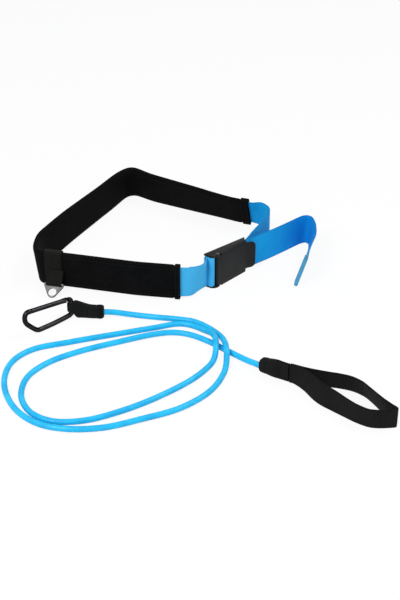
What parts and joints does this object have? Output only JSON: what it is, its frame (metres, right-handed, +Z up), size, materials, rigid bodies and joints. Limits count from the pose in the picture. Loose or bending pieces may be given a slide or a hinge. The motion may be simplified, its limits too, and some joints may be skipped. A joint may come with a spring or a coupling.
{
  "type": "stationary swim tether",
  "caption": "Padded waist belt standing on its edge with a cam buckle and a sliding ring, and a rubber tether tube with a snap hook and a strap loop.",
  "frame": {"origin": "on the surface that the object lies on, under the middle of its outline without the tether tube", "axes": "+Z up, +X to the right of someone facing the buckle side of the belt, +Y away from them, from the anchor loop towards the back of the belt"},
  "size_m": [0.5237, 0.6424, 0.0601],
  "materials": {
    "blue_webbing": "woven",
    "neoprene": "matte knit face",
    "black_webbing": "woven",
    "buckle_plastic": "fine grain",
    "steel": "satin",
    "ring_steel": "dull",
    "tube_rubber": "satin",
    "plug_plastic": "plain",
    "hook_paint": "satin"
  },
  "bodies": {
    "belt_and_tether": {"belt_webbing": "blue_webbing", "pad_outer_panel": "neoprene", "pad_inner_panel": "neoprene", "front_cuff": "neoprene", "back_cuff": "neoprene", "buckle_frame": "buckle_plastic", "buckle_slide_bar": "steel", "buckle_lever_pin": "steel", "hook_sleeve": "black_webbing", "hook_end_plug": "plug_plastic", "handle_sleeve": "black_webbing", "handle_end_plug": "plug_plastic", "handle_webbing": "black_webbing", "tether_tube": "tube_rubber"},
    "lever": {"buckle_lever": "buckle_plastic"},
    "keeper": {"ring_keeper": "black_webbing", "ring_tab": "black_webbing"},
    "ring": {"ring_plate": "ring_steel"},
    "hook": {"hook_body": "hook_paint", "hook_gate_pin": "steel"},
    "gate": {"hook_gate": "hook_paint"}
  },
  "joints": [
    {"name": "lever_hinge", "type": "hinge", "parent": "belt_and_tether", "child": "lever", "pos_m": [0.02381, 0.02754, 0.028], "axis": [0, 0, -1], "range_deg": [0, 95]},
    {"name": "keeper_slide", "type": "slide", "parent": "belt_and_tether", "child": "keeper", "axis": [0.9734, -0.2292, 0], "range_m": [0, 0.1]},
    {"name": "ring_hinge", "type": "hinge", "parent": "keeper", "child": "ring", "pos_m": [-0.21892, 0.00947, 0.0153], "axis": [-0.9734, 0.2292, 0], "range_deg": [0, 100]},
    {"name": "hook_swivel", "type": "hinge", "parent": "belt_and_tether", "child": "hook", "pos_m": [-0.18818, -0.05758, 0.0175], "axis": [0, 0, 1], "range_deg": [-75, 30]},
    {"name": "gate_hinge", "type": "hinge", "parent": "hook", "child": "gate", "pos_m": [-0.19543, -0.06372, 0.034], "axis": [0.6461, -0.7632, 0], "range_deg": [0, 21], "stiffness_Nm_per_rad": 0.05, "springref_deg": -17.19}
  ]
}
